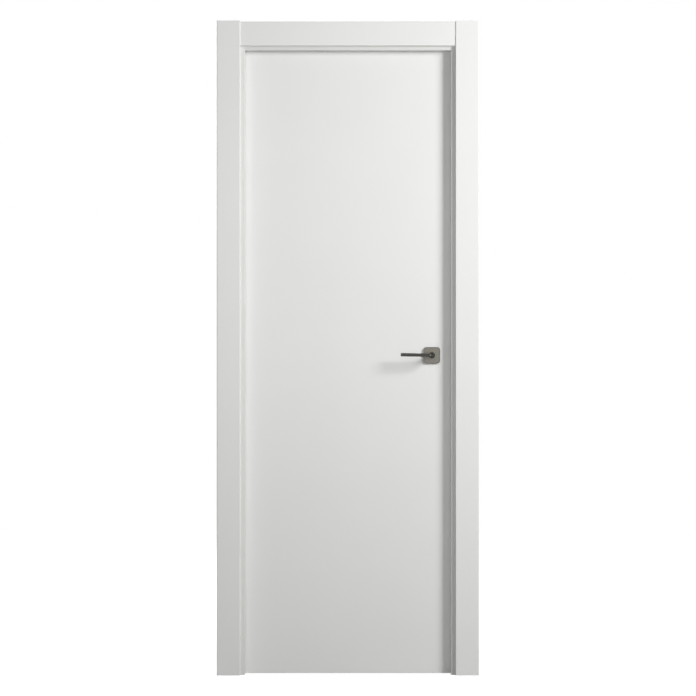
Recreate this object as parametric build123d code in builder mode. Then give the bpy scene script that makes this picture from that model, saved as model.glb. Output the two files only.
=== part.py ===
from build123d import *
import os
from math import cos, radians, sin

# Solid interior door: a flush solid-core leaf hung on butt hinges in a stopped lining, cased on
# both sides of the wall, with a lever set and a tubular latch.
# Millimetres. +Z is up, +X runs from the hinge side to the lock side, and the push side, where the
# leaf lies back behind its stops, faces -Y. The origin is on the wall face of the hinge-side
# lining, at floor level and at mid depth.

os.makedirs("parts", exist_ok=True)

# Leaf
leaf_width = 715.0
leaf_height = 2105.0
leaf_thickness = 40.0
skin_thickness = 3.0
stile_width = 38.0
rail_height = 38.0
lock_bevel = 2.0
leaf_arris = 1.0

# Clearances round the leaf
side_gap = 5.0
head_gap = 5.0
floor_gap = 3.0
stop_gap = 5.0

# Lining and planted stops
lining_thickness = 16.0
lining_arris = 1.5
stop_thickness = 17.0
stop_depth = 25.0
stop_front_round = 2.5
stop_back_round = 1.5

# Rubber seal, pressed into a groove in the back of the stop
seal_groove_width = 3.0
seal_groove_depth = 6.0
seal_stem_clearance = 0.1
seal_bulb_width = 7.0
seal_shoulder_height = 1.5
seal_leaf_clearance = 0.4

# Casings
side_casing_width = 78.0
head_casing_width = 81.0
side_casing_thickness = 14.0
head_casing_thickness = 11.0
side_front_margin = 16.0
head_front_margin = 15.0
casing_hinge_clearance = 5.0
side_casing_over = 3.0
casing_inner_round = 1.5
casing_outer_round = 2.5
casing_relief_depth = 1.5
casing_relief_inner_border = 28.0
casing_relief_outer_border = 10.0

# Butt hinges
hinge_height = 100.0
hinge_plate_width = 30.0
hinge_plate_thickness = 2.5
hinge_corner = 6.0
knuckle_radius = 6.5
knuckle_leaf_clearance = 0.5
knuckle_count = 5
knuckle_gap = 0.4
pin_radius = 3.5
pin_running_clearance = 0.06
pin_seat_clearance = 0.02
pin_head_radius = 5.0
pin_head_height = 4.0
pin_head_chamfer = 1.5
top_hinge_drop = 200.0
bottom_hinge_rise = 250.0
hinge_screw_radius = 2.4
hinge_screw_head_radius = 4.6
hinge_screw_edge = 10.0
hinge_screw_end = 14.0
gain_clearance = 0.2

# Lever set
handle_height = 1073.0
backset = 75.0
rose_side = 55.0
rose_thickness = 8.0
rose_corner = 10.0
rose_bevel = 1.5
journal_radius = 9.0
journal_clearance = 0.05
journal_start = 1.0
collar_radius = 10.5
collar_gap = 0.4
collar_length = 4.0
collar_chamfer = 0.8
lever_reach = 106.0
lever_radius = 5.5
lever_stand_off = 63.0
lever_bend_radius = 14.0
lever_tip_chamfer = 1.5
lever_rise = 1.2
neck_taper_length = 14.0
spindle_side = 8.0
spindle_clearance = 0.05
spindle_insertion = 23.0
spindle_end_space = 2.0
spindle_chamfer = 0.5

# Tubular latch and strike
latch_case_depth = 15.0
latch_case_height = 22.0
latch_case_beyond = 16.0
latch_case_clearance = 0.5
latch_case_corner = 2.0
follower_radius = 8.0
follower_clearance = 0.05
faceplate_width = 24.0
faceplate_height = 60.0
faceplate_thickness = 2.5
faceplate_corner = 5.0
faceplate_screw_spacing = 42.0
bolt_width = 12.0
bolt_height = 18.0
bolt_length = 30.0
bolt_clearance = 0.3
bolt_nose_depth = 4.0
bolt_nose_flat = 1.0
spindle_bore_radius = 9.5
strike_height = 80.0
strike_thickness = 2.0
strike_lip = 7.0
strike_lip_round = 1.2
strike_hole_width = 13.0
strike_hole_height = 24.0
strike_pocket_depth = 11.0
strike_screw_spacing = 60.0
plate_screw_radius = 2.0
plate_screw_head_radius = 3.6

# Places across the width, through the depth and up the height
rebate_left = lining_thickness
leaf_left = rebate_left + side_gap
leaf_right = leaf_left + leaf_width
rebate_right = leaf_right + side_gap
frame_right = rebate_right + lining_thickness
opening_left = rebate_left + stop_thickness
opening_right = rebate_right - stop_thickness

wall_depth = stop_depth + stop_gap + leaf_thickness
frame_front = -wall_depth / 2
frame_back = wall_depth / 2
stop_back = frame_front + stop_depth
leaf_front = stop_back + stop_gap
leaf_back = frame_back
leaf_middle = (leaf_front + leaf_back) / 2

leaf_bottom = floor_gap
leaf_top = leaf_bottom + leaf_height
rebate_top = leaf_top + head_gap
frame_top = rebate_top + lining_thickness
opening_top = rebate_top - stop_thickness

casing_left = opening_left - side_front_margin - side_casing_width
casing_right = opening_right + side_front_margin + side_casing_width
head_casing_top = opening_top + head_front_margin + head_casing_width
side_casing_top = head_casing_top + side_casing_over

hinge_axis_x = (rebate_left + leaf_left) / 2
hinge_axis_proud = knuckle_radius + knuckle_leaf_clearance
hinge_axis_y = leaf_back + hinge_axis_proud
knuckle_edge = hinge_axis_x - knuckle_radius
back_margin = rebate_left - knuckle_edge + casing_hinge_clearance
plate_inner = leaf_back - hinge_plate_width
top_hinge = leaf_top - top_hinge_drop
bottom_hinge = leaf_bottom + bottom_hinge_rise
hinge_centres = {"top": top_hinge, "middle": (top_hinge + bottom_hinge) / 2, "bottom": bottom_hinge}

spindle_x = leaf_right - backset
lever_turn = radians(lever_rise)
lever_run = (-cos(lever_turn), 0, sin(lever_turn))

# How far a cut runs past the face it opens, and how deep one form of a piece starts inside another
over_cut = 1.0
fuse_depth = 1.0


def lock_edge(y):
    """X of the bevelled lock edge of the leaf at depth y."""
    return leaf_right - lock_bevel * (leaf_back - y) / leaf_thickness


def wall_plane(y):
    """A plane parallel to the wall at depth y, seen from the push side."""
    return Plane.XZ.offset(-y)


def finish(piece, name):
    """Label a finished piece and write it."""
    piece.part.label = name
    export_step(piece.part, f"parts/{name}.step")


# Lining: two uprights and a head board between them

def hinge_plate_outline(z_centre, spare):
    """Outline of a hinge plate on a YZ plane, with rounded corners at its inner edge."""
    inner = plate_inner - spare
    half = hinge_height / 2 + spare
    with BuildSketch() as outline:
        with BuildLine():
            FilletPolyline(
                (leaf_back, z_centre - half),
                (inner, z_centre - half),
                (inner, z_centre + half),
                (leaf_back, z_centre + half),
                radius=hinge_corner + spare,
            )
            Line((leaf_back, z_centre + half), (leaf_back, z_centre - half))
        make_face()
    return outline.sketch


def strike_outline():
    """Section of the strike plate: let into the lining, its lip turned over the pull-side edge."""
    lip_front = frame_back + strike_thickness
    with BuildSketch() as outline:
        with BuildLine():
            Polyline(
                (rebate_right, leaf_middle - faceplate_width / 2),
                (rebate_right + strike_thickness, leaf_middle - faceplate_width / 2),
                (rebate_right + strike_thickness, frame_back),
                (rebate_right + strike_lip, frame_back),
                (rebate_right + strike_lip, lip_front),
                (rebate_right, lip_front),
                close=True,
            )
        make_face()
    return outline.sketch


with BuildPart() as lining_hinge_side:
    with BuildSketch():
        with Locations((0, frame_front)):
            Rectangle(lining_thickness, wall_depth, align=(Align.MIN, Align.MIN))
    extrude(amount=frame_top)
    inner_edges = lining_hinge_side.faces().sort_by(Axis.X)[-1].edges().filter_by(Axis.Z)
    fillet(inner_edges.sort_by(Axis.Y)[-1], lining_arris)
    for z_centre in hinge_centres.values():
        with BuildSketch(Plane.YZ.offset(rebate_left)):
            add(hinge_plate_outline(z_centre, gain_clearance))
        extrude(amount=-hinge_plate_thickness, mode=Mode.SUBTRACT)
finish(lining_hinge_side, "lining_hinge_side")

with BuildPart() as lining_lock_side:
    with BuildSketch():
        with Locations((rebate_right, frame_front)):
            Rectangle(lining_thickness, wall_depth, align=(Align.MIN, Align.MIN))
    extrude(amount=frame_top)
    inner_edges = lining_lock_side.faces().sort_by(Axis.X)[0].edges().filter_by(Axis.Z)
    fillet(inner_edges.sort_by(Axis.Y)[-1], lining_arris)
    with BuildSketch(Plane.XY.offset(handle_height - strike_height / 2)):
        add(strike_outline())
    extrude(amount=strike_height, mode=Mode.SUBTRACT)
    with BuildSketch(Plane.YZ.offset(rebate_right)):
        with Locations((leaf_middle, handle_height)):
            Rectangle(strike_hole_width, strike_hole_height)
    extrude(amount=strike_thickness + strike_pocket_depth, mode=Mode.SUBTRACT)
finish(lining_lock_side, "lining_lock_side")

with BuildPart() as lining_head:
    with BuildSketch(Plane.XY.offset(rebate_top)):
        with Locations((rebate_left, frame_front)):
            Rectangle(rebate_right - rebate_left, wall_depth, align=(Align.MIN, Align.MIN))
    extrude(amount=lining_thickness)
    under_edges = lining_head.faces().sort_by(Axis.Z)[0].edges().filter_by(Axis.X)
    fillet(under_edges.sort_by(Axis.Y)[-1], lining_arris)
finish(lining_head, "lining_head")


# Stops and seals: one section each, run up both sides and across the head, mitred at the corners

corner_normals = {"hinge": (1, 0, 1), "lock": (-1, 0, 1)}
corner_points = {"hinge": (rebate_left, 0, rebate_top), "lock": (rebate_right, 0, rebate_top)}
runs = {
    "hinge_side": Plane(origin=(rebate_left, 0, 0), x_dir=(1, 0, 0), z_dir=(0, 0, 1)),
    "lock_side": Plane(origin=(rebate_right, 0, rebate_top), x_dir=(-1, 0, 0), z_dir=(0, 0, -1)),
    "head": Plane(origin=(rebate_left, 0, rebate_top), x_dir=(0, 0, -1), z_dir=(1, 0, 0)),
}
run_lengths = {
    "hinge_side": rebate_top,
    "lock_side": rebate_top,
    "head": rebate_right - rebate_left,
}
seal_centre = (side_gap + stop_thickness) / 2


def stop_section():
    """Stop strip with softened edges and the seal groove; x is measured off the rebate face."""
    groove_left = seal_centre - seal_groove_width / 2
    groove_right = seal_centre + seal_groove_width / 2
    groove_floor = stop_back - seal_groove_depth
    with BuildSketch() as outline:
        with BuildLine():
            Line((0, stop_back), (0, frame_front))
            Line((0, frame_front), (stop_thickness - stop_front_round, frame_front))
            RadiusArc(
                (stop_thickness - stop_front_round, frame_front),
                (stop_thickness, frame_front + stop_front_round),
                -stop_front_round,
            )
            Line(
                (stop_thickness, frame_front + stop_front_round),
                (stop_thickness, stop_back - stop_back_round),
            )
            RadiusArc(
                (stop_thickness, stop_back - stop_back_round),
                (stop_thickness - stop_back_round, stop_back),
                -stop_back_round,
            )
            Polyline(
                (stop_thickness - stop_back_round, stop_back),
                (groove_right, stop_back),
                (groove_right, groove_floor),
                (groove_left, groove_floor),
                (groove_left, stop_back),
                (0, stop_back),
            )
        make_face()
    return outline.sketch


def seal_section():
    """Seal strip: a barbed stem in the groove and a rounded bulb that meets the leaf."""
    stem = seal_groove_width / 2 - seal_stem_clearance
    bulb = seal_bulb_width / 2
    crown = leaf_front - seal_leaf_clearance
    shoulder = stop_back + seal_shoulder_height
    with BuildSketch() as outline:
        with BuildLine():
            Polyline(
                (seal_centre - bulb, shoulder),
                (seal_centre - bulb, stop_back),
                (seal_centre - stem, stop_back),
                (seal_centre - stem, stop_back - seal_groove_depth + seal_stem_clearance),
                (seal_centre + stem, stop_back - seal_groove_depth + seal_stem_clearance),
                (seal_centre + stem, stop_back),
                (seal_centre + bulb, stop_back),
                (seal_centre + bulb, shoulder),
            )
            ThreePointArc(
                (seal_centre + bulb, shoulder),
                (seal_centre, crown),
                (seal_centre - bulb, shoulder),
            )
        make_face()
    return outline.sketch


def mitred_run(side, section):
    """Run a section along one side of the frame and cut its mitres."""
    with BuildPart() as strip:
        with BuildSketch(runs[side]):
            add(section())
        extrude(amount=run_lengths[side])
        for corner, normal in corner_normals.items():
            mitre = Plane(origin=corner_points[corner], z_dir=normal)
            if side == "head":
                split(bisect_by=mitre, keep=Keep.TOP)
            elif side.startswith(corner):
                split(bisect_by=mitre, keep=Keep.BOTTOM)
    return strip


for side in runs:
    finish(mitred_run(side, stop_section), f"stop_{side}")
    finish(mitred_run(side, seal_section), f"seal_{side}")


# Casings: the side casings run past the thinner head casing, which butts between them

def side_casing(inner, outer, wall_face, outwards):
    """Side casing from its inner to its outer edge, relieved at the back to sit flat on the wall."""
    width = abs(outer - inner)
    towards_outer = 1 if outer > inner else -1
    front = wall_face + outwards * side_casing_thickness
    with BuildPart() as casing:
        with BuildSketch():
            with Locations(((inner + outer) / 2, (wall_face + front) / 2)):
                Rectangle(width, side_casing_thickness)
        extrude(amount=side_casing_top)
        face_edges = casing.faces().sort_by(Axis.Y)[0 if outwards < 0 else -1].edges().filter_by(Axis.Z)
        across = face_edges.sort_by(Axis.X)
        inner_edge, outer_edge = (across[0], across[-1]) if towards_outer > 0 else (across[-1], across[0])
        fillet(inner_edge, casing_inner_round)
        fillet(outer_edge, casing_outer_round)
        relief_inner = inner + towards_outer * casing_relief_inner_border
        relief_outer = outer - towards_outer * casing_relief_outer_border
        with BuildSketch():
            with Locations(((relief_inner + relief_outer) / 2, wall_face)):
                Rectangle(abs(relief_outer - relief_inner), 2 * casing_relief_depth)
        extrude(amount=side_casing_top, mode=Mode.SUBTRACT)
    return casing


def head_casing(left, right, bottom, wall_face, outwards):
    """Head casing between the side casings, standing off the wall face."""
    height = head_casing_top - bottom
    with BuildPart() as casing:
        with BuildSketch(Plane.YZ.offset(left)):
            with Locations((wall_face + outwards * head_casing_thickness / 2, bottom + height / 2)):
                Rectangle(head_casing_thickness, height)
        extrude(amount=right - left)
        face_edges = casing.faces().sort_by(Axis.Y)[0 if outwards < 0 else -1].edges().filter_by(Axis.X)
        fillet(face_edges.sort_by(Axis.Z)[0], casing_inner_round)
        fillet(face_edges.sort_by(Axis.Z)[-1], casing_outer_round)
        relief_bottom = bottom + casing_relief_inner_border
        relief_top = head_casing_top - casing_relief_outer_border
        with BuildSketch(Plane.YZ.offset(left)):
            with Locations((wall_face, (relief_bottom + relief_top) / 2)):
                Rectangle(2 * casing_relief_depth, relief_top - relief_bottom)
        extrude(amount=right - left, mode=Mode.SUBTRACT)
    return casing


casing_faces = {
    "front": (frame_front, -1, opening_left - side_front_margin, opening_right + side_front_margin,
              opening_top + head_front_margin),
    "back": (frame_back, 1, rebate_left - back_margin, rebate_right + back_margin,
             rebate_top + back_margin),
}
for face, (wall_face, outwards, inner_left, inner_right, bottom) in casing_faces.items():
    finish(side_casing(inner_left, casing_left, wall_face, outwards), f"casing_{face}_hinge_side")
    finish(side_casing(inner_right, casing_right, wall_face, outwards), f"casing_{face}_lock_side")
    finish(head_casing(inner_left, inner_right, bottom, wall_face, outwards), f"casing_{face}_head")


# Leaf: one blank with its bevel, arrises and mortises, from which every layer and frame member is cut

def faceplate_profile(depth, spare):
    """Section of the latch faceplate, square to the bevelled lock edge, on an XY plane."""
    low = leaf_middle - faceplate_width / 2 - spare
    high = leaf_middle + faceplate_width / 2 + spare
    with BuildSketch() as outline:
        with BuildLine():
            Polyline(
                (lock_edge(low), low),
                (lock_edge(high), high),
                (lock_edge(high) - depth, high),
                (lock_edge(low) - depth, low),
                close=True,
            )
        make_face()
    return outline.sketch


latch_case_back = spindle_x - latch_case_beyond
latch_case_front = leaf_right - lock_bevel - faceplate_thickness

with BuildPart() as leaf_blank:
    with BuildSketch(Plane.XY.offset(leaf_bottom)):
        with BuildLine():
            Polyline(
                (leaf_left, leaf_front),
                (lock_edge(leaf_front), leaf_front),
                (leaf_right, leaf_back),
                (leaf_left, leaf_back),
                close=True,
            )
        make_face()
    extrude(amount=leaf_height)
    leaf_faces = leaf_blank.faces().filter_by(Axis.Y)
    fillet(leaf_faces.edges(), leaf_arris)
    for z_centre in hinge_centres.values():
        with BuildSketch(Plane.YZ.offset(leaf_left)):
            add(hinge_plate_outline(z_centre, gain_clearance))
        extrude(amount=hinge_plate_thickness, mode=Mode.SUBTRACT)
    with BuildSketch(Plane.XY.offset(handle_height - faceplate_height / 2 - gain_clearance)):
        add(faceplate_profile(faceplate_thickness, gain_clearance))
    extrude(amount=faceplate_height + 2 * gain_clearance, mode=Mode.SUBTRACT)
    with BuildSketch(Plane.YZ.offset(latch_case_back - latch_case_clearance)):
        with Locations((leaf_middle, handle_height)):
            Rectangle(
                latch_case_depth + 2 * latch_case_clearance,
                latch_case_height + 2 * latch_case_clearance,
            )
    extrude(amount=leaf_right - latch_case_back, mode=Mode.SUBTRACT)
    with BuildSketch(wall_plane(leaf_back)):
        with Locations((spindle_x, handle_height)):
            Circle(spindle_bore_radius)
    extrude(amount=leaf_thickness, mode=Mode.SUBTRACT)

core_front = leaf_front + skin_thickness
core_back = leaf_back - skin_thickness
core_left = leaf_left + stile_width
core_right = leaf_right - stile_width
core_bottom = leaf_bottom + rail_height
core_top = leaf_top - rail_height
leaf_members = {
    "leaf_core": ((core_left, core_front, core_bottom), (core_right, core_back, core_top)),
    "leaf_hinge_stile": ((leaf_left, core_front, leaf_bottom), (core_left, core_back, leaf_top)),
    "leaf_lock_stile": ((core_right, core_front, leaf_bottom), (leaf_right, core_back, leaf_top)),
    "leaf_top_rail": ((core_left, core_front, core_top), (core_right, core_back, leaf_top)),
    "leaf_bottom_rail": ((core_left, core_front, leaf_bottom), (core_right, core_back, core_bottom)),
    "leaf_front_skin": ((leaf_left, leaf_front, leaf_bottom), (leaf_right, core_front, leaf_top)),
    "leaf_back_skin": ((leaf_left, core_back, leaf_bottom), (leaf_right, leaf_back, leaf_top)),
}
for name, (low, high) in leaf_members.items():
    size = [high[axis] - low[axis] for axis in range(3)]
    with BuildPart() as member:
        add(leaf_blank.part)
        with Locations(low):
            Box(*size, align=(Align.MIN, Align.MIN, Align.MIN), mode=Mode.INTERSECT)
    finish(member, name)


# Butt hinges: each half is a let-in plate with its own knuckles; the loose pin drops through both

knuckle_pitch = hinge_height / knuckle_count


def hinge_half(z_centre, plate_face, inwards, first_knuckle, bore_radius):
    """One half of a butt hinge: plate, straps, every second knuckle and countersunk holes."""
    plate_floor = plate_face + inwards * hinge_plate_thickness
    bottom = z_centre - hinge_height / 2
    with BuildPart() as half:
        with BuildSketch(Plane.YZ.offset(plate_face)):
            add(hinge_plate_outline(z_centre, 0))
        extrude(amount=inwards * hinge_plate_thickness)
        for knuckle in range(first_knuckle, knuckle_count, 2):
            low = bottom + knuckle * knuckle_pitch + (knuckle_gap / 2 if knuckle > 0 else 0)
            high = bottom + (knuckle + 1) * knuckle_pitch
            high -= knuckle_gap / 2 if knuckle < knuckle_count - 1 else 0
            with BuildSketch(Plane.XY.offset(low)):
                with Locations(((plate_face + plate_floor) / 2, leaf_back)):
                    Rectangle(hinge_plate_thickness, hinge_axis_proud, align=(Align.CENTER, Align.MIN))
                with Locations((hinge_axis_x, hinge_axis_y)):
                    Circle(knuckle_radius)
            extrude(amount=high - low)
        with Locations((hinge_axis_x, hinge_axis_y, z_centre)):
            Cylinder(bore_radius, hinge_height + 2 * over_cut, mode=Mode.SUBTRACT)
        screw_rise = hinge_height / 2 - hinge_screw_end
        screw_faces = [
            Plane(origin=(plate_face, plate_inner + across, z_centre + up), z_dir=(-inwards, 0, 0))
            for across, up in (
                (hinge_screw_edge, screw_rise),
                (hinge_plate_width - hinge_screw_edge, 0),
                (hinge_screw_edge, -screw_rise),
            )
        ]
        with Locations(*screw_faces):
            CounterSinkHole(hinge_screw_radius, hinge_screw_head_radius, depth=hinge_plate_thickness)
    return half


def hinge_pin(z_centre):
    """Loose pin with a bevelled head above the top knuckle and a like button below the bottom one."""
    with BuildPart() as pin:
        with Locations((hinge_axis_x, hinge_axis_y, z_centre)):
            Cylinder(pin_radius, hinge_height)
        for side in (-1, 1):
            with BuildSketch(Plane.XY.offset(z_centre + side * hinge_height / 2)):
                with Locations((hinge_axis_x, hinge_axis_y)):
                    Circle(pin_head_radius)
            extrude(amount=side * pin_head_height)
        end_faces = pin.faces().filter_by(Axis.Z).sort_by(Axis.Z)
        chamfer([*end_faces[0].edges(), *end_faces[-1].edges()], pin_head_chamfer)
    return pin


for position, z_centre in hinge_centres.items():
    frame_half = hinge_half(z_centre, rebate_left, -1, 0, pin_radius + pin_seat_clearance)
    leaf_half = hinge_half(z_centre, leaf_left, 1, 1, pin_radius + pin_running_clearance)
    finish(frame_half, f"hinge_{position}_frame_half")
    finish(leaf_half, f"hinge_{position}_leaf_half")
    finish(hinge_pin(z_centre), f"hinge_{position}_pin")


# Tubular latch, drawn back flush in the lock edge, and the strike plate that receives it

edge_slope = lock_bevel / leaf_thickness
edge_normal = (1, -edge_slope, 0)

with BuildPart() as latch_faceplate:
    with BuildSketch(Plane.XY.offset(handle_height - faceplate_height / 2)):
        add(faceplate_profile(faceplate_thickness, 0))
    extrude(amount=faceplate_height)
    fillet(latch_faceplate.edges().filter_by(Axis.X), faceplate_corner)
    with BuildSketch(Plane.YZ.offset(latch_case_front - over_cut)):
        with Locations((leaf_middle, handle_height)):
            Rectangle(bolt_width + 2 * bolt_clearance, bolt_height + 2 * bolt_clearance)
    extrude(amount=leaf_right - latch_case_front + 2 * over_cut, mode=Mode.SUBTRACT)
    plate_screws = [
        Plane(origin=(lock_edge(leaf_middle), leaf_middle, z), z_dir=edge_normal)
        for z in (
            handle_height - faceplate_screw_spacing / 2,
            handle_height + faceplate_screw_spacing / 2,
        )
    ]
    with Locations(*plate_screws):
        CounterSinkHole(plate_screw_radius, plate_screw_head_radius, depth=faceplate_thickness + over_cut)
finish(latch_faceplate, "latch_faceplate")

with BuildPart() as latch_case:
    with BuildSketch(Plane.YZ.offset(latch_case_back)):
        with Locations((leaf_middle, handle_height)):
            RectangleRounded(latch_case_depth, latch_case_height, latch_case_corner)
    extrude(amount=latch_case_front - latch_case_back)
    with BuildSketch(Plane.YZ.offset(latch_case_front)):
        with Locations((leaf_middle, handle_height)):
            Rectangle(bolt_width + 2 * bolt_clearance, bolt_height + 2 * bolt_clearance)
    extrude(amount=-bolt_length, mode=Mode.SUBTRACT)
    with BuildSketch(wall_plane(leaf_middle)):
        with Locations((spindle_x, handle_height)):
            Circle(follower_radius + follower_clearance)
    extrude(amount=latch_case_depth, both=True, mode=Mode.SUBTRACT)
finish(latch_case, "latch_case")

with BuildPart() as latch_bolt:
    bolt_low = leaf_middle - bolt_width / 2
    bolt_high = leaf_middle + bolt_width / 2
    bolt_back = latch_case_front - bolt_length
    with BuildSketch(Plane.XY.offset(handle_height - bolt_height / 2)):
        with BuildLine():
            Polyline(
                (bolt_back, bolt_low),
                (lock_edge(bolt_low) - bolt_nose_depth, bolt_low),
                (lock_edge(bolt_high) - bolt_nose_flat, bolt_high - bolt_nose_flat),
                (lock_edge(bolt_high) - bolt_nose_flat, bolt_high),
                (bolt_back, bolt_high),
                close=True,
            )
        make_face()
    extrude(amount=bolt_height)
finish(latch_bolt, "latch_bolt")

with BuildPart() as strike_plate:
    with BuildSketch(Plane.XY.offset(handle_height - strike_height / 2)):
        add(strike_outline())
    extrude(amount=strike_height)
    lip_edges = strike_plate.edges().filter_by(Axis.Z).group_by(Axis.Y)[-1]
    fillet(lip_edges, strike_lip_round)
    with BuildSketch(Plane.YZ.offset(rebate_right)):
        with Locations((leaf_middle, handle_height)):
            Rectangle(strike_hole_width, strike_hole_height)
    extrude(amount=strike_thickness, mode=Mode.SUBTRACT)
    strike_screws = [
        Plane(origin=(rebate_right, leaf_middle, z), z_dir=(-1, 0, 0))
        for z in (
            handle_height - strike_screw_spacing / 2,
            handle_height + strike_screw_spacing / 2,
        )
    ]
    with Locations(*strike_screws):
        CounterSinkHole(plate_screw_radius, plate_screw_head_radius, depth=strike_thickness)
finish(strike_plate, "strike_plate")


# Lever set: a square rose and a bent lever on each face, joined by a square spindle

def handle_plane(face, outwards):
    """Plane on a leaf face with x along the lever, towards its tip, and y away from the leaf."""
    lever_up = Vector(*lever_run).cross(Vector(0, outwards, 0))
    return Plane(origin=(spindle_x, face, handle_height), x_dir=lever_run, z_dir=lever_up)


def rose(face, outwards):
    """Square rose with rounded corners and a bevelled rim, bored for the lever's journal."""
    seat = Plane(origin=(spindle_x, face, handle_height), x_dir=(1, 0, 0), z_dir=(0, outwards, 0))
    with BuildPart() as plate:
        with BuildSketch(seat):
            RectangleRounded(rose_side, rose_side, rose_corner)
        extrude(amount=rose_thickness)
        rim = plate.faces().sort_by(Axis.Y)[0 if outwards < 0 else -1].edges()
        chamfer(rim, rose_bevel)
        with BuildSketch(seat):
            Circle(journal_radius + journal_clearance)
        extrude(amount=rose_thickness, mode=Mode.SUBTRACT)
    return plate


def lever(face, outwards):
    """Lever: a turned neck with a collar and taper, and a round bar that bends over to its tip."""
    side = handle_plane(face, outwards)
    collar_start = rose_thickness + collar_gap
    collar_end = collar_start + collar_length
    taper_end = collar_end + neck_taper_length
    with BuildPart() as bar:
        with BuildSketch(side):
            with BuildLine():
                Polyline(
                    (0, journal_start),
                    (journal_radius, journal_start),
                    (journal_radius, collar_start),
                    (collar_radius - collar_chamfer, collar_start),
                    (collar_radius, collar_start + collar_chamfer),
                    (collar_radius, collar_end - collar_chamfer),
                    (collar_radius - collar_chamfer, collar_end),
                    (journal_radius, collar_end),
                    (lever_radius, taper_end),
                    (0, taper_end),
                    close=True,
                )
            make_face()
        revolve(axis=Axis(side.origin, side.y_dir))
        with BuildLine(side) as route:
            FilletPolyline(
                (0, taper_end - fuse_depth),
                (0, lever_stand_off),
                (lever_reach, lever_stand_off),
                radius=lever_bend_radius,
            )
        section = Plane(
            origin=side.from_local_coords((0, taper_end - fuse_depth, 0)),
            z_dir=side.y_dir,
        )
        with BuildSketch(section):
            Circle(lever_radius)
        sweep(path=route.line)
        tip = bar.faces().filter_by(GeomType.PLANE).sort_by(Axis.X)[0]
        chamfer(tip.edges(), lever_tip_chamfer)
        with BuildSketch(Plane(origin=side.origin, x_dir=lever_run, z_dir=side.y_dir)):
            Rectangle(spindle_side + 2 * spindle_clearance, spindle_side + 2 * spindle_clearance)
        extrude(amount=spindle_insertion + spindle_end_space, mode=Mode.SUBTRACT)
    return bar


def lever_square(y):
    """Plane across the spindle at depth y, with x along the levers, so that the square turns with them."""
    return Plane(origin=(spindle_x, y, handle_height), x_dir=lever_run, z_dir=(0, 1, 0))


for face_name, face, outwards in (("front", leaf_front, -1), ("back", leaf_back, 1)):
    finish(rose(face, outwards), f"rose_{face_name}")
    finish(lever(face, outwards), f"lever_{face_name}")

spindle_start = leaf_front - spindle_insertion
spindle_length = leaf_thickness + 2 * spindle_insertion
with BuildPart() as spindle:
    with BuildSketch(lever_square(spindle_start)):
        Rectangle(spindle_side, spindle_side)
    extrude(amount=spindle_length)
    chamfer(spindle.faces().filter_by(Axis.Y).edges(), spindle_chamfer)
finish(spindle, "spindle")

follower_start = leaf_middle - latch_case_depth / 2
with BuildPart() as latch_follower:
    with BuildSketch(lever_square(follower_start)):
        Circle(follower_radius)
        Rectangle(
            spindle_side + 2 * spindle_clearance,
            spindle_side + 2 * spindle_clearance,
            mode=Mode.SUBTRACT,
        )
    extrude(amount=latch_case_depth)
finish(latch_follower, "latch_follower")
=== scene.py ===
"""Looks of a solid interior door: lacquer, bare board, nickel, steel, rubber, screws and a studio.

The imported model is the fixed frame. Everything is in metres in that frame: +Z is up, +X runs from
the hinge side to the lock side, and the push side faces -Y.
"""

from dataclasses import dataclass
from enum import Enum
import logging
import math

import bmesh
import bpy
from mathutils import Matrix, Vector


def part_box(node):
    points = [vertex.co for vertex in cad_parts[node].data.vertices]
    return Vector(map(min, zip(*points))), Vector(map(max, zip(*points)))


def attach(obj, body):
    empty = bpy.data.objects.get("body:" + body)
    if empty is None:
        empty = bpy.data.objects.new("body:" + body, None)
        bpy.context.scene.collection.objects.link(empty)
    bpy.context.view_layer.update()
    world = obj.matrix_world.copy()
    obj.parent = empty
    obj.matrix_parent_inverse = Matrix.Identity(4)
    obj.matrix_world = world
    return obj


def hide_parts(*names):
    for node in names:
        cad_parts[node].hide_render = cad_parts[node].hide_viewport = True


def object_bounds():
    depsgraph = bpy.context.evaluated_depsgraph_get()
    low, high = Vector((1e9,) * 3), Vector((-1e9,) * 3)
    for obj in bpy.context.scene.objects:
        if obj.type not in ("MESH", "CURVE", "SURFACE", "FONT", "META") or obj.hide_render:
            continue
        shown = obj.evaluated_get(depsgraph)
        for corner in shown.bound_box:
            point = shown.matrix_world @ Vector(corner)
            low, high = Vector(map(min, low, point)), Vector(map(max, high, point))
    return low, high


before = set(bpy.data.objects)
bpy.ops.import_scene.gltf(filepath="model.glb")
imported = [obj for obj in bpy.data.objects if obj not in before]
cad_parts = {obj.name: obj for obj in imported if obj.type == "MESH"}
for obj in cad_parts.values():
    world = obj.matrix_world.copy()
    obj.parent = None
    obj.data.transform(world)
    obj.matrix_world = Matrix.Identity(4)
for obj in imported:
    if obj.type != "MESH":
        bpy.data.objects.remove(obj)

CAD_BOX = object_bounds()
LOG = logging.getLogger("door")
MM = 0.001

# Points nearer than this are one point
MERGE_DISTANCE = 0.001 * MM
# A flat face looks a given way where its normal's share along it is over this
FACING = 0.95
WOOD_IOR = 1.45
LACQUER_IOR = 1.5
RUBBER_IOR = 1.52

# Sockets of a Mix node that mixes colours
MIX_FIRST = 6
MIX_SECOND = 7
MIX_RESULT = 2

Colour = tuple[float, float, float, float]
Link = bpy.types.NodeSocket


def linear(hex_colour: str) -> Colour:
    """Turn an sRGB hex colour into linear light.

    Args:
        hex_colour: A hash sign and six hex digits.

    Returns:
        Red, green, blue and an alpha of 1.
    """
    values = [int(hex_colour[start:start + 2], 16) / 255 for start in (1, 3, 5)]
    red, green, blue = (v / 12.92 if v <= 0.04045 else ((v + 0.055) / 1.055) ** 2.4 for v in values)
    return (red, green, blue, 1.0)


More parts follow.
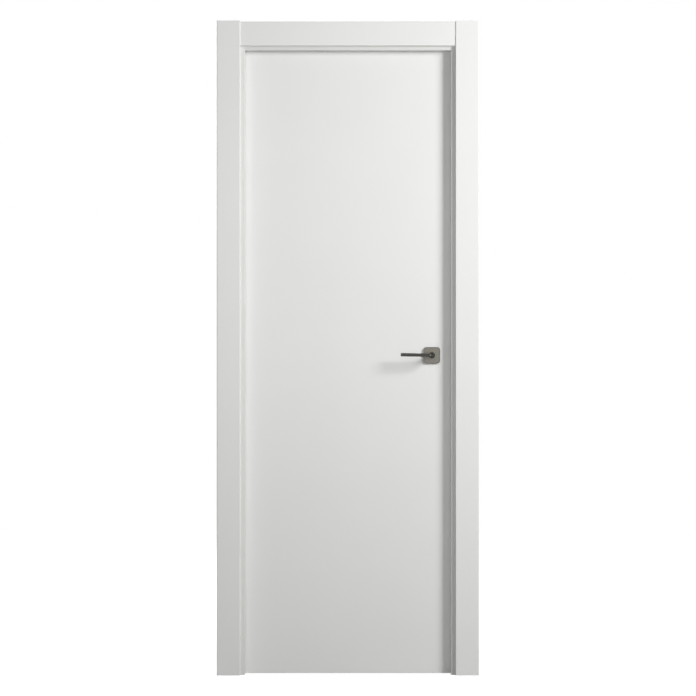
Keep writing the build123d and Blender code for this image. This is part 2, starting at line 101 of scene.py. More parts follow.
def add_node(
    tree: bpy.types.NodeTree,
    kind: str,
    values: dict | None = None,
    links: dict | None = None,
    **settings: object,
) -> bpy.types.Node:
    """Add a node with its settings, values and links.

    Args:
        tree: The node tree that gets the node.
        kind: The node's type name, without its ShaderNode prefix.
        values: Values of input sockets, by name or place.
        links: Outputs that feed input sockets, by name or place.
        **settings: The node's own properties.

    Returns:
        The new node.
    """
    made = tree.nodes.new("ShaderNode" + kind)
    for name, value in settings.items():
        setattr(made, name, value)
    for name, value in (values or {}).items():
        made.inputs[name].default_value = value
    for name, source in (links or {}).items():
        tree.links.new(source, made.inputs[name])
    return made


class Face(Enum):
    """The way a flat face looks, as a direction in the shared frame."""

    HINGE_WAY = (-1.0, 0.0, 0.0)
    LOCK_WAY = (1.0, 0.0, 0.0)
    PUSH_WAY = (0.0, -1.0, 0.0)
    PULL_WAY = (0.0, 1.0, 0.0)
    DOWN = (0.0, 0.0, -1.0)
    UP = (0.0, 0.0, 1.0)


class Run(Enum):
    """The way grain or brush lines run, as how often they repeat along X, Y and Z."""

    ACROSS = (0.02, 1.0, 1.0)
    UPRIGHT = (1.0, 1.0, 0.02)


@dataclass(frozen=True)
class Finish:
    """A surface finish that writes its own shader nodes."""

    name: str

    def surface(self, tree: bpy.types.NodeTree) -> Link:
        """Write the finish's nodes.

        Args:
            tree: The material's node tree.

        Returns:
            The shader output.
        """
        raise NotImplementedError

    def material(self) -> bpy.types.Material:
        """Make the material at the first call.

        Returns:
            The material of this finish, the same one at each call.
        """
        known = bpy.data.materials.get(self.name)
        if known is not None:
            return known
        made = bpy.data.materials.new(self.name)
        made.use_nodes = True
        made.node_tree.nodes.clear()
        shader = self.surface(made.node_tree)
        add_node(made.node_tree, "OutputMaterial", links={"Surface": shader})
        return made


@dataclass(frozen=True)
class SprayedLacquer(Finish):
    """Satin white lacquer, sprayed: an even soft sheen with a faint orange peel.

    The real peel is about 1.5 mm across, too fine to show, so it is drawn at 4 mm.
    """

    colour: str = "#F2F2F1"
    shade: str = "#EFEFED"
    roughness: float = 0.42
    roughness_spread: float = 0.05
    peel_mm: float = 4.0
    peel_depth_mm: float = 0.012
    cloud_mm: float = 240.0
    edge_mm: float = 0.6
    edge_samples: int = 4

    def surface(self, tree: bpy.types.NodeTree) -> Link:
        """Write the lacquer's nodes.

        Args:
            tree: The material's node tree.

        Returns:
            The shader output.
        """
        place = add_node(tree, "TexCoord").outputs["Object"]
        cloud = add_node(
            tree, "TexNoise", {"Scale": 1 / (self.cloud_mm * MM), "Detail": 2.0}, {"Vector": place}
        ).outputs["Fac"]
        peel = add_node(
            tree, "TexNoise", {"Scale": 1 / (self.peel_mm * MM), "Detail": 1.0}, {"Vector": place}
        ).outputs["Fac"]
        tone = add_node(
            tree,
            "Mix",
            {MIX_FIRST: linear(self.colour), MIX_SECOND: linear(self.shade)},
            {"Factor": cloud},
            data_type="RGBA",
        ).outputs[MIX_RESULT]
        gloss = add_node(
            tree,
            "MapRange",
            {
                "To Min": self.roughness - self.roughness_spread,
                "To Max": self.roughness + self.roughness_spread,
            },
            {"Value": cloud},
        ).outputs["Result"]
        soft_edge = add_node(
            tree, "Bevel", {"Radius": self.edge_mm * MM}, samples=self.edge_samples
        ).outputs["Normal"]
        relief = add_node(
            tree,
            "Bump",
            {"Distance": self.peel_depth_mm * MM},
            {"Height": peel, "Normal": soft_edge},
        ).outputs["Normal"]
        shader = add_node(
            tree,
            "BsdfPrincipled",
            {"IOR": LACQUER_IOR},
            {"Base Color": tone, "Roughness": gloss, "Normal": relief},
        )
        return shader.outputs["BSDF"]


@dataclass(frozen=True)
class Fibreboard(Finish):
    """Raw medium-density fibreboard: flat, pale brown, with fine dark flecks and a dry surface."""

    colour: str = "#B79468"
    fleck: str = "#94734A"
    fibre_mm: float = 1.2
    depth_mm: float = 0.05
    fleck_start: float = 0.52
    fleck_end: float = 0.72
    roughness: float = 0.85

    def surface(self, tree: bpy.types.NodeTree) -> Link:
        """Write the board's nodes.

        Args:
            tree: The material's node tree.

        Returns:
            The shader output.
        """
        place = add_node(tree, "TexCoord").outputs["Object"]
        fibre = add_node(
            tree, "TexNoise", {"Scale": 1 / (self.fibre_mm * MM), "Detail": 3.0}, {"Vector": place}
        ).outputs["Fac"]
        flecks = add_node(
            tree, "MapRange", {"From Min": self.fleck_start, "From Max": self.fleck_end}, {"Value": fibre}
        ).outputs["Result"]
        tone = add_node(
            tree,
            "Mix",
            {MIX_FIRST: linear(self.colour), MIX_SECOND: linear(self.fleck)},
            {"Factor": flecks},
            data_type="RGBA",
        ).outputs[MIX_RESULT]
        relief = add_node(
            tree, "Bump", {"Distance": self.depth_mm * MM}, {"Height": fibre}
        ).outputs["Normal"]
        shader = add_node(
            tree,
            "BsdfPrincipled",
            {"IOR": WOOD_IOR, "Roughness": self.roughness},
            {"Base Color": tone, "Normal": relief},
        )
        return shader.outputs["BSDF"]


@dataclass(frozen=True)
class Softwood(Finish):
    """Planed pine: pale yellow early wood with darker late-wood lines that run with the piece."""

    run: Run
    early: str = "#DDBF8F"
    late: str = "#BD9259"
    ring_mm: float = 4.0
    depth_mm: float = 0.06
    waviness: float = 0.4
    late_start: float = 0.42
    late_end: float = 0.62
    roughness: float = 0.65

    def surface(self, tree: bpy.types.NodeTree) -> Link:
        """Write the pine's nodes.

        Args:
            tree: The material's node tree.

        Returns:
            The shader output.
        """
        place = add_node(tree, "TexCoord").outputs["Object"]
        grain = add_node(
            tree, "Mapping", {"Scale": self.run.value}, {"Vector": place}
        ).outputs["Vector"]
        rings = add_node(
            tree,
            "TexNoise",
            {"Scale": 1 / (self.ring_mm * MM), "Detail": 2.0, "Distortion": self.waviness},
            {"Vector": grain},
        ).outputs["Fac"]
        bands = add_node(
            tree, "MapRange", {"From Min": self.late_start, "From Max": self.late_end}, {"Value": rings}
        ).outputs["Result"]
        tone = add_node(
            tree,
            "Mix",
            {MIX_FIRST: linear(self.early), MIX_SECOND: linear(self.late)},
            {"Factor": bands},
            data_type="RGBA",
        ).outputs[MIX_RESULT]
        relief = add_node(
            tree, "Bump", {"Distance": self.depth_mm * MM}, {"Height": rings}
        ).outputs["Normal"]
        shader = add_node(
            tree,
            "BsdfPrincipled",
            {"IOR": WOOD_IOR, "Roughness": self.roughness},
            {"Base Color": tone, "Normal": relief},
        )
        return shader.outputs["BSDF"]


@dataclass(frozen=True)
class ParticleBoard(Finish):
    """Raw particle board: pressed chips a few millimetres across, in several browns."""

    chip: str = "#CBA871"
    dark_chip: str = "#8F6B3E"
    chip_mm: float = 3.0
    depth_mm: float = 0.15
    roughness: float = 0.8

    def surface(self, tree: bpy.types.NodeTree) -> Link:
        """Write the chips' nodes.

        Args:
            tree: The material's node tree.

        Returns:
            The shader output.
        """
        place = add_node(tree, "TexCoord").outputs["Object"]
        chips = add_node(tree, "TexVoronoi", {"Scale": 1 / (self.chip_mm * MM)}, {"Vector": place})
        shade = add_node(tree, "SeparateColor", links={"Color": chips.outputs["Color"]}).outputs["Red"]
        tone = add_node(
            tree,
            "Mix",
            {MIX_FIRST: linear(self.chip), MIX_SECOND: linear(self.dark_chip)},
            {"Factor": shade},
            data_type="RGBA",
        ).outputs[MIX_RESULT]
        relief = add_node(
            tree, "Bump", {"Distance": self.depth_mm * MM}, {"Height": chips.outputs["Distance"]}
        ).outputs["Normal"]
        shader = add_node(
            tree,
            "BsdfPrincipled",
            {"IOR": WOOD_IOR, "Roughness": self.roughness},
            {"Base Color": tone, "Normal": relief},
        )
        return shader.outputs["BSDF"]


@dataclass(frozen=True)
class Lacquered(Finish):
    """A lacquered piece whose hidden or cut faces and whose mortises stay bare, as they leave the shop."""

    lacquer: Finish
    bare: Finish
    bare_faces: tuple[Face, ...]
    mortised_node: str | None = None
    mortise_mm: float = 1.0

    def in_mortise(self, tree: bpy.types.NodeTree) -> Link:
        """Write nodes that tell a mortise from the piece's outside.

        Args:
            tree: The material's node tree.

        Returns:
            1 deeper in the node's box than lacquer reaches, and 0 elsewhere.
        """
        low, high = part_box(self.mortised_node)
        middle = (low + high) / 2
        inner = (high - low) / 2 - Vector((1, 1, 1)) * self.mortise_mm * MM
        place = add_node(tree, "TexCoord").outputs["Object"]
        away = add_node(
            tree, "VectorMath", {1: middle}, {0: place}, operation="SUBTRACT"
        ).outputs["Vector"]
        reach = add_node(tree, "VectorMath", links={0: away}, operation="ABSOLUTE").outputs["Vector"]
        depth = add_node(
            tree, "VectorMath", {0: inner}, {1: reach}, operation="SUBTRACT"
        ).outputs["Vector"]
        axes = add_node(tree, "SeparateXYZ", links={"Vector": depth}).outputs
        least = add_node(
            tree, "Math", links={0: axes["X"], 1: axes["Y"]}, operation="MINIMUM"
        ).outputs["Value"]
        least = add_node(
            tree, "Math", links={0: least, 1: axes["Z"]}, operation="MINIMUM"
        ).outputs["Value"]
        return add_node(tree, "Math", {1: 0.0}, {0: least}, operation="GREATER_THAN").outputs["Value"]

    def surface(self, tree: bpy.types.NodeTree) -> Link:
        """Write both finishes' nodes, mixed by place and by the way that each face looks.

        Args:
            tree: The material's node tree.

        Returns:
            The shader output.
        """
        normal = add_node(tree, "TexCoord").outputs["Normal"]
        mask = self.in_mortise(tree) if self.mortised_node else None
        for face in self.bare_faces:
            turned = add_node(
                tree, "VectorMath", {1: face.value}, {0: normal}, operation="DOT_PRODUCT"
            ).outputs["Value"]
            flat = add_node(tree, "Math", {1: FACING}, {0: turned}, operation="GREATER_THAN").outputs["Value"]
            if mask is not None:
                flat = add_node(tree, "Math", links={0: mask, 1: flat}, operation="MAXIMUM").outputs["Value"]
            mask = flat
        mixed = add_node(
            tree,
            "MixShader",
            links={0: mask, 1: self.lacquer.surface(tree), 2: self.bare.surface(tree)},
        )
        return mixed.outputs["Shader"]


@dataclass(frozen=True)
class SatinNickel(Finish):
    """Nickel plate, brushed satin: a grey metal with fine lines and a soft, stretched highlight.

    The real lines are about 0.1 mm apart, too fine to show, so they are drawn at 0.5 mm.
    """

    run: Run
    # These default colours are the rose's: darker than bare satin nickel, a painted dark reflection of its
    # surroundings
    colour: str = "#6D6B64"
    shade: str = "#605E58"
    roughness: float = 0.32
    roughness_spread: float = 0.08
    line_mm: float = 0.5
    depth_mm: float = 0.004

    def surface(self, tree: bpy.types.NodeTree) -> Link:
        """Write the nickel's nodes.

        Args:
            tree: The material's node tree.

        Returns:
            The shader output.
        """
        place = add_node(tree, "TexCoord").outputs["Object"]
        along = add_node(
            tree, "Mapping", {"Scale": self.run.value}, {"Vector": place}
        ).outputs["Vector"]
        lines = add_node(
            tree, "TexNoise", {"Scale": 1 / (self.line_mm * MM), "Detail": 2.0}, {"Vector": along}
        ).outputs["Fac"]
        tone = add_node(
            tree,
            "Mix",
            {MIX_FIRST: linear(self.colour), MIX_SECOND: linear(self.shade)},
            {"Factor": lines},
            data_type="RGBA",
        ).outputs[MIX_RESULT]
        gloss = add_node(
            tree,
            "MapRange",
            {
                "To Min": self.roughness - self.roughness_spread,
                "To Max": self.roughness + self.roughness_spread,
            },
            {"Value": lines},
        ).outputs["Result"]
        relief = add_node(
            tree, "Bump", {"Distance": self.depth_mm * MM}, {"Height": lines}
        ).outputs["Normal"]
        shader = add_node(
            tree,
            "BsdfPrincipled",
            {"Metallic": 1.0},
            {"Base Color": tone, "Roughness": gloss, "Normal": relief},
        )
        return shader.outputs["BSDF"]


@dataclass(frozen=True)
class ZincPlate(Finish):
    """Zinc-plated steel: cool and pale, with small dull crystals and no brush lines."""

    colour: str = "#A9ADAF"
    shade: str = "#8E9397"
    crystal_mm: float = 2.0
    roughness: float = 0.35
    roughness_spread: float = 0.07

    def surface(self, tree: bpy.types.NodeTree) -> Link:
        """Write the plating's nodes.

        Args:
            tree: The material's node tree.

        Returns:
            The shader output.
        """
        place = add_node(tree, "TexCoord").outputs["Object"]
        crystals = add_node(tree, "TexVoronoi", {"Scale": 1 / (self.crystal_mm * MM)}, {"Vector": place})
        shade = add_node(tree, "SeparateColor", links={"Color": crystals.outputs["Color"]}).outputs["Red"]
        tone = add_node(
            tree,
            "Mix",
            {MIX_FIRST: linear(self.colour), MIX_SECOND: linear(self.shade)},
            {"Factor": shade},
            data_type="RGBA",
        ).outputs[MIX_RESULT]
        gloss = add_node(
            tree,
            "MapRange",
            {
                "To Min": self.roughness - self.roughness_spread,
                "To Max": self.roughness + self.roughness_spread,
            },
            {"Value": shade},
        ).outputs["Result"]
        shader = add_node(
            tree, "BsdfPrincipled", {"Metallic": 1.0}, {"Base Color": tone, "Roughness": gloss}
        )
        return shader.outputs["BSDF"]


@dataclass(frozen=True)
class SealRubber(Finish):
    """Extruded grey rubber: matte, with fine draw lines along the strip.

    The real lines are about 0.2 mm apart, too fine to show, so they are drawn at 0.8 mm.
    """

    run: Run
    colour: str = "#7B7B77"
    shade: str = "#6C6C68"
    line_mm: float = 0.8
    depth_mm: float = 0.03
    roughness: float = 0.7

    def surface(self, tree: bpy.types.NodeTree) -> Link:
        """Write the rubber's nodes.

        Args:
            tree: The material's node tree.

        Returns:
            The shader output.
        """
        place = add_node(tree, "TexCoord").outputs["Object"]
        along = add_node(
            tree, "Mapping", {"Scale": self.run.value}, {"Vector": place}
        ).outputs["Vector"]
        lines = add_node(
            tree, "TexNoise", {"Scale": 1 / (self.line_mm * MM), "Detail": 1.0}, {"Vector": along}
        ).outputs["Fac"]
        tone = add_node(
            tree,
            "Mix",
            {MIX_FIRST: linear(self.colour), MIX_SECOND: linear(self.shade)},
            {"Factor": lines},
            data_type="RGBA",
        ).outputs[MIX_RESULT]
        relief = add_node(
            tree, "Bump", {"Distance": self.depth_mm * MM}, {"Height": lines}
        ).outputs["Normal"]
        shader = add_node(
            tree,
            "BsdfPrincipled",
            {"IOR": RUBBER_IOR, "Roughness": self.roughness},
            {"Base Color": tone, "Normal": relief},
        )
        return shader.outputs["BSDF"]


LACQUER = SprayedLacquer("satin_white_lacquer")
# The frame's lacquer is greyer than the leaf's: partly its own tone, partly painted shade that darkens the
# recessed linings and stops
FRAME_LACQUER_AND_PAINTED_SHADE = SprayedLacquer("satin_white_frame_lacquer_and_painted_shade", "#DFDFDD", "#DCDCDA")
FIBREBOARD = Fibreboard("raw_fibreboard")
HINGE_NICKEL = SatinNickel("satin_nickel_hinge", Run.UPRIGHT, "#A6A29A", "#938F87")
# The rose's grey is darker than bare satin nickel: painted dark reflection of its surroundings
ROSE_NICKEL_PAINTED_DARK_REFLECTION = SatinNickel("satin_nickel_rose_painted_dark_reflection", Run.UPRIGHT)
# The lever's near-black grey is painted dark reflection of its surroundings: bare satin nickel is far paler
LEVER_NICKEL_PAINTED_DARK_REFLECTION = SatinNickel("satin_nickel_lever_painted_dark_reflection", Run.ACROSS, "#464643", "#3E3E3B", 0.3)
SCREW_NICKEL = SatinNickel("nickel_screw", Run.ACROSS, "#A19D95", "#8F8B84", 0.3)
ZINC = ZincPlate("zinc_plated_steel")


def new_piece(name: str, mesh: bmesh.types.BMesh, finish: Finish, body: str) -> bpy.types.Object:
    """Turn a finished bmesh into a piece that rides on a body.

    Args:
        name: The piece's name.
        mesh: The shape, which is freed.
        finish: The finish that it gets.
        body: The body that it rides on.

    Returns:
        The new object, at the origin.
    """
    data = bpy.data.meshes.new(name)
    mesh.to_mesh(data)
    mesh.free()
    data.materials.append(finish.material())
    piece = bpy.data.objects.new(name, data)
    bpy.context.scene.collection.objects.link(piece)
    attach(piece, body)
    LOG.info("piece %s on %s, %d faces", name, body, len(data.polygons))
    return piece


def dress(node: str, finish: Finish) -> None:
    """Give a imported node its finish.

    Args:
        node: The node's name.
        finish: The finish that its material slots get.
    """
    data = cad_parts[node].data
    material = finish.material()
    if not data.materials:
        data.materials.append(material)
    for place in range(len(data.materials)):
        data.materials[place] = material
    LOG.info("node %s in %s", node, finish.name)


def smooth_copy(node: str, finish: Finish, body: str, angle_deg: float = 35.0) -> bpy.types.Object:
    """Stand a smooth-shaded copy in for a turned or bent metal node.

    Args:
        node: The node's name.
        finish: The finish that the copy gets.
        body: The body that it rides on.
        angle_deg: Edges that turn more than this stay sharp.

    Returns:
        The copy, which replaces the node.
    """
    mesh = bmesh.new()
    mesh.from_mesh(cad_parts[node].data)
    bmesh.ops.remove_doubles(mesh, verts=mesh.verts, dist=MERGE_DISTANCE)
    limit = math.radians(angle_deg)
    for edge in mesh.edges:
        edge.smooth = len(edge.link_faces) == 2 and edge.calc_face_angle(0.0) < limit
    for face in mesh.faces:
        face.smooth = True
    piece = new_piece(node + "_polished", mesh, finish, body)
    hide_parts(node)
    return piece


@dataclass(frozen=True)
class CountersunkScrew:
    """A countersunk wood screw with a cross recess, seen where its head fills the plate's hole."""

    head_radius: float = 4.4 * MM
    neck_radius: float = 2.3 * MM
    head_depth: float = 2.1 * MM
    slot_width: float = 1.1 * MM
    slot_reach: float = 2.3 * MM
    slot_depth: float = 1.4 * MM
    slot_taper: float = 0.45
    sides: int = 24

    def head(self) -> bmesh.types.BMesh:
        """Model the head about the origin, its flat top looking up Z.

        Returns:
            A closed mesh with its cross recess sunk in.
        """
        mesh = bmesh.new()
        bmesh.ops.create_cone(
            mesh,
            cap_ends=True,
            segments=self.sides,
            radius1=self.neck_radius,
            radius2=self.head_radius,
            depth=self.head_depth,
            matrix=Matrix.Translation((0, 0, -self.head_depth / 2)),
        )
        half = self.slot_width / 2
        for offset in (-self.slot_reach, -half, half, self.slot_reach):
            for normal in (Vector((1, 0, 0)), Vector((0, 1, 0))):
                top = [f for f in mesh.faces if f.normal.z > FACING]
                around = top + list(dict.fromkeys(e for f in top for e in f.edges))
                bmesh.ops.bisect_plane(
                    mesh, geom=around, dist=MERGE_DISTANCE, plane_co=normal * offset, plane_no=normal
                )
        cross = [f for f in mesh.faces if f.normal.z > FACING and self.in_cross(f.calc_center_median())]
        sunk = bmesh.ops.extrude_face_region(mesh, geom=cross)["geom"]
        bmesh.ops.delete(mesh, geom=cross, context="FACES_ONLY")
        floor = [v for v in sunk if isinstance(v, bmesh.types.BMVert)]
        bmesh.ops.translate(mesh, verts=floor, vec=(0, 0, -self.slot_depth))
        bmesh.ops.scale(mesh, verts=floor, vec=(self.slot_taper, self.slot_taper, 1))
        bmesh.ops.recalc_face_normals(mesh, faces=mesh.faces)
        # Extruding makes the recess's sides in an order that varies from run to run
        for rank, face in enumerate(sorted(mesh.faces, key=lambda f: tuple(f.calc_center_median()))):
            face.index = rank
        mesh.faces.sort()
        return mesh

    def in_cross(self, point: Vector) -> bool:
        """Tell whether a point of the top lies in the cross recess."""
        reach = max(abs(point.x), abs(point.y))
        return reach < self.slot_reach and min(abs(point.x), abs(point.y)) < self.slot_width / 2

    def set_in(self, mesh: bmesh.types.BMesh, place: Vector, way: Vector, turn_deg: float) -> None:
        """Add this screw to a mesh of several.

        Args:
            mesh: The mesh that gets the screw.
            place: The centre of its head's top.
            way: The way its head looks.
            turn_deg: How far the cross is turned, since no two screws stop alike.
        """
        head = self.head()
        turn = Matrix.Rotation(math.radians(turn_deg), 4, "Z")
        seat = Matrix.Translation(place) @ way.to_track_quat("Z", "Y").to_matrix().to_4x4() @ turn
        bmesh.ops.transform(head, matrix=seat, verts=head.verts)
        loose = bpy.data.meshes.new("screw_head")
        head.to_mesh(loose)
        head.free()
        mesh.from_mesh(loose)
        bpy.data.meshes.remove(loose)


HINGE_SCREW = CountersunkScrew()
PLATE_SCREW = CountersunkScrew(
    head_radius=3.4 * MM,
    neck_radius=1.9 * MM,
    head_depth=1.7 * MM,
    slot_width=0.9 * MM,
    slot_reach=1.9 * MM,
    slot_depth=1.1 * MM,
)


@dataclass
class Lining:
    """The lining and its planted stops: lacquered where they show, bare against the wall."""

    bare_faces: tuple[tuple[str, tuple[Face, ...]], ...] = (
        ("lining_hinge_side", (Face.HINGE_WAY, Face.UP, Face.DOWN)),
        ("lining_lock_side", (Face.LOCK_WAY, Face.UP, Face.DOWN)),
        ("lining_head", (Face.UP,)),
    )
    stops: tuple[str, ...] = ("stop_hinge_side", "stop_lock_side", "stop_head")
    seals: tuple[tuple[str, Run], ...] = (
        ("seal_hinge_side", Run.UPRIGHT),
        ("seal_lock_side", Run.UPRIGHT),
        ("seal_head", Run.ACROSS),
    )

    def build(self) -> None:
        """Dress the lining boards, the stops and the seals."""
        for node, faces in self.bare_faces:
            dress(node, Lacquered("lacquered_" + node, FRAME_LACQUER_AND_PAINTED_SHADE, FIBREBOARD, faces, node))
        for node in self.stops:
            dress(node, FRAME_LACQUER_AND_PAINTED_SHADE)
        for node, run in self.seals:
            dress(node, SealRubber("seal_rubber_" + run.name.lower(), run))


@dataclass
class Casings:
    """The casings of both sides, bare on the back that lies on the wall and at the feet."""

    sides: tuple[tuple[str, Face], ...] = (("front", Face.PULL_WAY), ("back", Face.PUSH_WAY))

    def build(self) -> None:
        """Dress the six casings."""
        for side, wall_face in self.sides:
            upright = Lacquered(f"lacquered_{side}_casing", LACQUER, FIBREBOARD, (wall_face, Face.DOWN))
            head = Lacquered(f"lacquered_{side}_head_casing", LACQUER, FIBREBOARD, (wall_face,))
            dress(f"casing_{side}_hinge_side", upright)
            dress(f"casing_{side}_lock_side", upright)
            dress(f"casing_{side}_head", head)


@dataclass
class Leaf:
    """The leaf: lacquered skins and stile edges, with bare timber at its top and bottom."""

    stiles: tuple[str, ...] = ("leaf_hinge_stile", "leaf_lock_stile")
    rails: tuple[str, ...] = ("leaf_top_rail", "leaf_bottom_rail")
    skins: tuple[str, ...] = ("leaf_front_skin", "leaf_back_skin")
    bevelled_edge_mm: float = 2.5

    def build(self) -> None:
        """Dress the leaf's layers and frame members."""
        upright = Softwood("planed_pine_upright", Run.UPRIGHT)
        across = Softwood("planed_pine_across", Run.ACROSS)
        ends = (Face.UP, Face.DOWN)
        for node in self.stiles:
            dress(node, Lacquered("lacquered_" + node, LACQUER, upright, ends, node, self.bevelled_edge_mm))
        for node in self.rails:
            dress(node, across)
        for node in self.skins:
            dress(node, LACQUER)
        dress("leaf_core", ParticleBoard("particle_board_core"))


@dataclass
class ButtHinge:
    """A butt hinge: smooth knuckles and pin, and three screws in each plate."""

    position: str
    screw_edge: float = 10.0 * MM
    screw_end: float = 14.0 * MM
    plate_width: float = 30.0 * MM
    first_turn_deg: float = 20.0
    turn_step_deg: float = 37.0

    def build(self) -> None:
        """Smooth the halves and the pin, and set their screws."""
        lining_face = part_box("lining_hinge_side")[1].x
        leaf_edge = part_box("leaf_front_skin")[0].x
        halves = (
            ("frame_half", "frame", lining_face, Face.LOCK_WAY),
            ("leaf_half", "door", leaf_edge, Face.HINGE_WAY),
        )
        for half, body, plate_face, way in halves:
            node = f"hinge_{self.position}_{half}"
            smooth_copy(node, HINGE_NICKEL, body)
            self.set_screws(node, body, plate_face, Vector(way.value))
        smooth_copy(f"hinge_{self.position}_pin", HINGE_NICKEL, "frame")

    def set_screws(self, node: str, body: str, plate_face: float, way: Vector) -> None:
        """Set three screws in a plate.

        Args:
            node: The hinge half's node.
            body: The body that it rides on.
            plate_face: X of the plate's open face.
            way: The way that face looks.
        """
        low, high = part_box(node)
        middle = (low.z + high.z) / 2
        rise = (high.z - low.z) / 2 - self.screw_end
        places = (
            (self.screw_edge, rise),
            (self.plate_width - self.screw_edge, 0.0),
            (self.screw_edge, -rise),
        )
        mesh = bmesh.new()
        for number, (across, up) in enumerate(places):
            place = Vector((plate_face, low.y + across, middle + up))
            HINGE_SCREW.set_in(mesh, place, way, self.first_turn_deg + self.turn_step_deg * number)
        new_piece(node + "_screws", mesh, SCREW_NICKEL, body)


@dataclass
class Latch:
    """The tubular latch in the leaf's edge and its strike plate in the lining."""

    faceplate_screw_spacing: float = 42.0 * MM
    strike_screw_spacing: float = 60.0 * MM
    lock_bevel: float = 2.0 * MM
    lower_turn_deg: float = 12.0
    upper_turn_deg: float = 61.0

    def build(self) -> None:
        """Dress the latch and the strike, and set their screws."""
        for node in ("strike_plate", "latch_faceplate"):
            dress(node, HINGE_NICKEL)
        for node in ("latch_case", "latch_bolt", "spindle", "latch_follower"):
            dress(node, ZINC)
        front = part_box("leaf_front_skin")[0].y
        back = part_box("leaf_back_skin")[1].y
        middle = (front + back) / 2
        slope = self.lock_bevel / (back - front)
        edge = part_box("leaf_back_skin")[1].x - self.lock_bevel / 2
        self.set_pair(
            "latch_faceplate",
            "door",
            Vector((edge, middle, 0)),
            Vector((1, -slope, 0)),
            self.faceplate_screw_spacing,
        )
        strike_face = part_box("strike_plate")[0].x
        self.set_pair(
            "strike_plate",
            "frame",
            Vector((strike_face, middle, 0)),
            Vector((-1, 0, 0)),
            self.strike_screw_spacing,
        )

    def set_pair(self, node: str, body: str, place: Vector, way: Vector, spacing: float) -> None:
        """Set two screws, one above the other.

        Args:
            node: The plate's node.
            body: The body that it rides on.
            place: A point on the plate's open face, at any height.
            way: The way that face looks.
            spacing: The screws' spacing.
        """
        low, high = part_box(node)
        mesh = bmesh.new()
        for side, turn_deg in ((-1, self.lower_turn_deg), (1, self.upper_turn_deg)):
            height = (low.z + high.z) / 2 + side * spacing / 2
            PLATE_SCREW.set_in(mesh, Vector((place.x, place.y, height)), way.normalized(), turn_deg)
        new_piece(node + "_screws", mesh, SCREW_NICKEL, body)


@dataclass
class LeverSet:
    """A rose and a lever on one face of the leaf."""

    side: str

    def build(self) -> None:
        """Smooth the rose and the lever."""
        smooth_copy(f"rose_{self.side}", ROSE_NICKEL_PAINTED_DARK_REFLECTION, "door")
        smooth_copy(f"lever_{self.side}", LEVER_NICKEL_PAINTED_DARK_REFLECTION, "handle")


@dataclass(frozen=True)
class SoftLamp:
    """A rectangular studio lamp with a diffuser."""

    name: str
    place: tuple[float, float, float]
    aim: tuple[float, float, float]
    width: float
    height: float
    power: float

    def build(self) -> None:
        """Place the lamp and aim it."""
        data = bpy.data.lights.new(self.name, "AREA")
        data.shape = "RECTANGLE"
        data.size = self.width
        data.size_y = self.height
        data.energy = self.power
        lamp = bpy.data.objects.new(self.name, data)
        lamp.location = self.place
        way = Vector(self.aim) - Vector(self.place)
        lamp.rotation_euler = way.to_track_quat("-Z", "Y").to_euler()
        lamp.visible_camera = False
        bpy.context.scene.collection.objects.link(lamp)
        LOG.info("lamp %s, %.0f W", self.name, self.power)


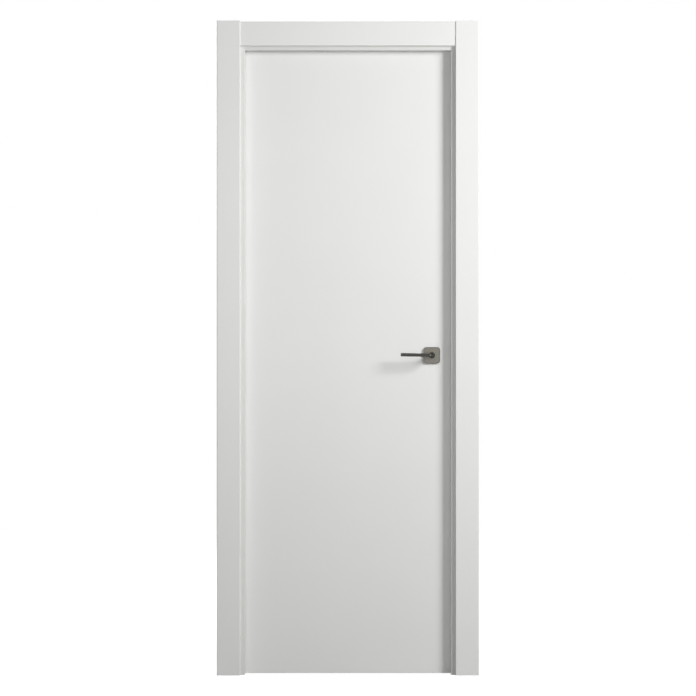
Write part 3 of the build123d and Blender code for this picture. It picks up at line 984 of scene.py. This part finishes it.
@dataclass
class Studio:
    """A white studio: a pale floor, a white surround and soft lamps from the front right."""

    ambient: float = 0.15
    floor_size: float = 14.0
    floor_drop: float = 0.5 * MM
    floor_colour: str = "#9C9C9A"
    glow_near: float = 0.92
    glow_far: float = 1.0
    fade_start: float = 1.2
    fade_end: float = 3.2
    lamps: tuple[SoftLamp, ...] = (
        SoftLamp("key_right", (3.2, -2.3, 2.6), (0.4, 0.0, 1.2), 1.1, 1.3, 118.0),
        SoftLamp("fill_front", (0.4, -2.4, 1.4), (0.4, 0.0, 1.4), 1.8, 1.6, 7.7),
        SoftLamp("fill_left", (0.0, -1.8, 1.6), (0.3, 0.0, 1.6), 1.2, 1.2, 2.7),
        SoftLamp("back_left", (-2.4, 4.2, 2.6), (0.4, 0.0, 1.1), 1.6, 1.6, 190.0),
    )

    def seen_directly(self, tree: bpy.types.NodeTree) -> Link:
        """Write nodes that tell how a surface is seen.

        Args:
            tree: The node tree of the floor or the world.

        Returns:
            1 for camera, mirror and glass rays, and 0 for the light that falls.
        """
        path = add_node(tree, "LightPath").outputs
        mirror = add_node(
            tree,
            "Math",
            links={0: path["Is Camera Ray"], 1: path["Is Glossy Ray"]},
            operation="MAXIMUM",
        ).outputs["Value"]
        return add_node(
            tree, "Math", links={0: mirror, 1: path["Is Transmission Ray"]}, operation="MAXIMUM"
        ).outputs["Value"]

    def build(self) -> None:
        """Make the surround, the floor and the lamps."""
        self.surround()
        self.floor()
        for lamp in self.lamps:
            lamp.build()

    def surround(self) -> None:
        """Make the world: white where it is seen, a dim even light elsewhere."""
        world = bpy.data.worlds.new("white_surround")
        world.use_nodes = True
        tree = world.node_tree
        tree.nodes.clear()
        strength = add_node(
            tree, "MapRange", {"To Min": self.ambient, "To Max": 1.0}, {"Value": self.seen_directly(tree)}
        ).outputs["Result"]
        light = add_node(tree, "Background", {"Color": linear("#FFFFFF")}, {"Strength": strength})
        add_node(tree, "OutputWorld", links={"Surface": light.outputs["Background"]})
        bpy.context.scene.world = world

    def floor(self) -> None:
        """Make the floor: it takes the object's shadow and fades to the white of the surround."""
        mesh = bmesh.new()
        middle = Matrix.Translation((CAD_BOX[1].x / 2, 0, -self.floor_drop))
        bmesh.ops.create_grid(mesh, x_segments=1, y_segments=1, size=self.floor_size / 2, matrix=middle)
        data = bpy.data.meshes.new("studio_floor")
        mesh.to_mesh(data)
        mesh.free()
        material = bpy.data.materials.new("studio_floor_paint")
        material.use_nodes = True
        tree = material.node_tree
        tree.nodes.clear()
        paint = add_node(tree, "BsdfDiffuse", {"Color": linear(self.floor_colour)}).outputs["BSDF"]
        place = add_node(tree, "TexCoord").outputs["Object"]
        away = add_node(tree, "VectorMath", links={0: place}, operation="LENGTH").outputs["Value"]
        white = add_node(
            tree,
            "MapRange",
            {
                "From Min": self.fade_start,
                "From Max": self.fade_end,
                "To Min": self.glow_near,
                "To Max": self.glow_far,
            },
            {"Value": away},
            interpolation_type="SMOOTHSTEP",
        ).outputs["Result"]
        strength = add_node(
            tree, "Math", links={0: white, 1: self.seen_directly(tree)}, operation="MULTIPLY"
        ).outputs["Value"]
        glow = add_node(tree, "Emission", links={"Strength": strength}).outputs["Emission"]
        both = add_node(tree, "AddShader", links={0: paint, 1: glow}).outputs["Shader"]
        add_node(tree, "OutputMaterial", links={"Surface": both})
        data.materials.append(material)
        floor = bpy.data.objects.new("studio_floor", data)
        bpy.context.scene.collection.objects.link(floor)


@dataclass
class Camera:
    """A long lens, square on to the door, set so that the frame's outline fills the picture's."""

    picture_px: float = 696.0
    outline_left_px: float = 216.9
    outline_right_px: float = 478.9
    outline_top_px: float = 20.5
    outline_bottom_px: float = 675.5
    distance: float = 9.0
    sensor: float = 36.0

    def build(self) -> None:
        """Place the camera in front of the push side."""
        low, high = CAD_BOX
        px_per_metre = (self.outline_bottom_px - self.outline_top_px) / (high.z - low.z)
        off_right = (self.picture_px / 2 - (self.outline_left_px + self.outline_right_px) / 2) / px_per_metre
        off_up = ((self.outline_top_px + self.outline_bottom_px) / 2 - self.picture_px / 2) / px_per_metre
        casing_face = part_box("casing_front_hinge_side")[0].y
        data = bpy.data.cameras.new("camera")
        data.sensor_width = self.sensor
        data.lens = self.sensor * self.distance * px_per_metre / self.picture_px
        camera = bpy.data.objects.new("camera", data)
        camera.location = (
            (low.x + high.x) / 2 + off_right,
            casing_face - self.distance,
            (low.z + high.z) / 2 + off_up,
        )
        camera.rotation_euler = (math.pi / 2, 0, 0)
        bpy.context.scene.collection.objects.link(camera)
        bpy.context.scene.camera = camera
        LOG.info("camera with a %.1f mm lens", data.lens)


def main() -> None:
    """Build the studio and every sub-assembly of the door."""
    logging.basicConfig(level=logging.INFO, format="%(message)s")
    bpy.context.scene.view_settings.view_transform = "Standard"
    assemblies = (
        Camera(),
        Studio(),
        Lining(),
        Casings(),
        Leaf(),
        ButtHinge("top"),
        ButtHinge("middle"),
        ButtHinge("bottom"),
        Latch(),
        LeverSet("front"),
        LeverSet("back"),
    )
    for assembly in assemblies:
        assembly.build()


if __name__ == "__main__":
    main()
